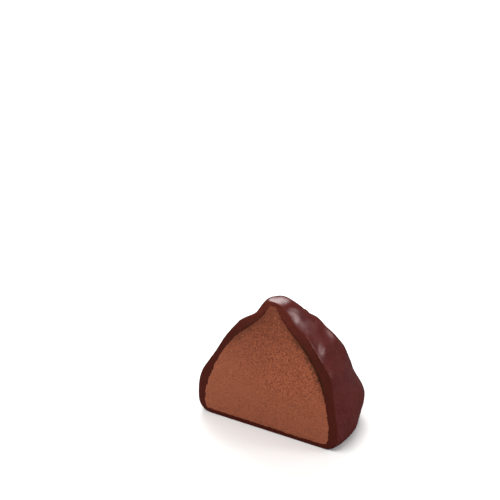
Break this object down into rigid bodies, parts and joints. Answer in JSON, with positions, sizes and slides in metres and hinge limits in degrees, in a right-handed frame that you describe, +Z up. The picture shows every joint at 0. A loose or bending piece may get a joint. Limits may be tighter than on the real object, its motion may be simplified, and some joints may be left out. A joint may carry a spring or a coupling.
{
  "type": "chocolate truffle",
  "caption": "Halved dark chocolate truffle: a coated dome of ganache with a pulled tip, cut upright so that its filling shows.",
  "frame": {"origin": "on the flat of the base, on the axis of the whole truffle", "axes": "+Z up from the base, -Y out of the cut, +X along the cut to the side that the tip was pulled to"},
  "size_m": [0.0323, 0.0207, 0.0287],
  "materials": {
    "coating": "satin dark chocolate",
    "filling": "matte, fine-grained ganache"
  },
  "bodies": {
    "root": {"chocolate_coating": "coating", "ganache_filling": "filling"}
  },
  "joints": []
}
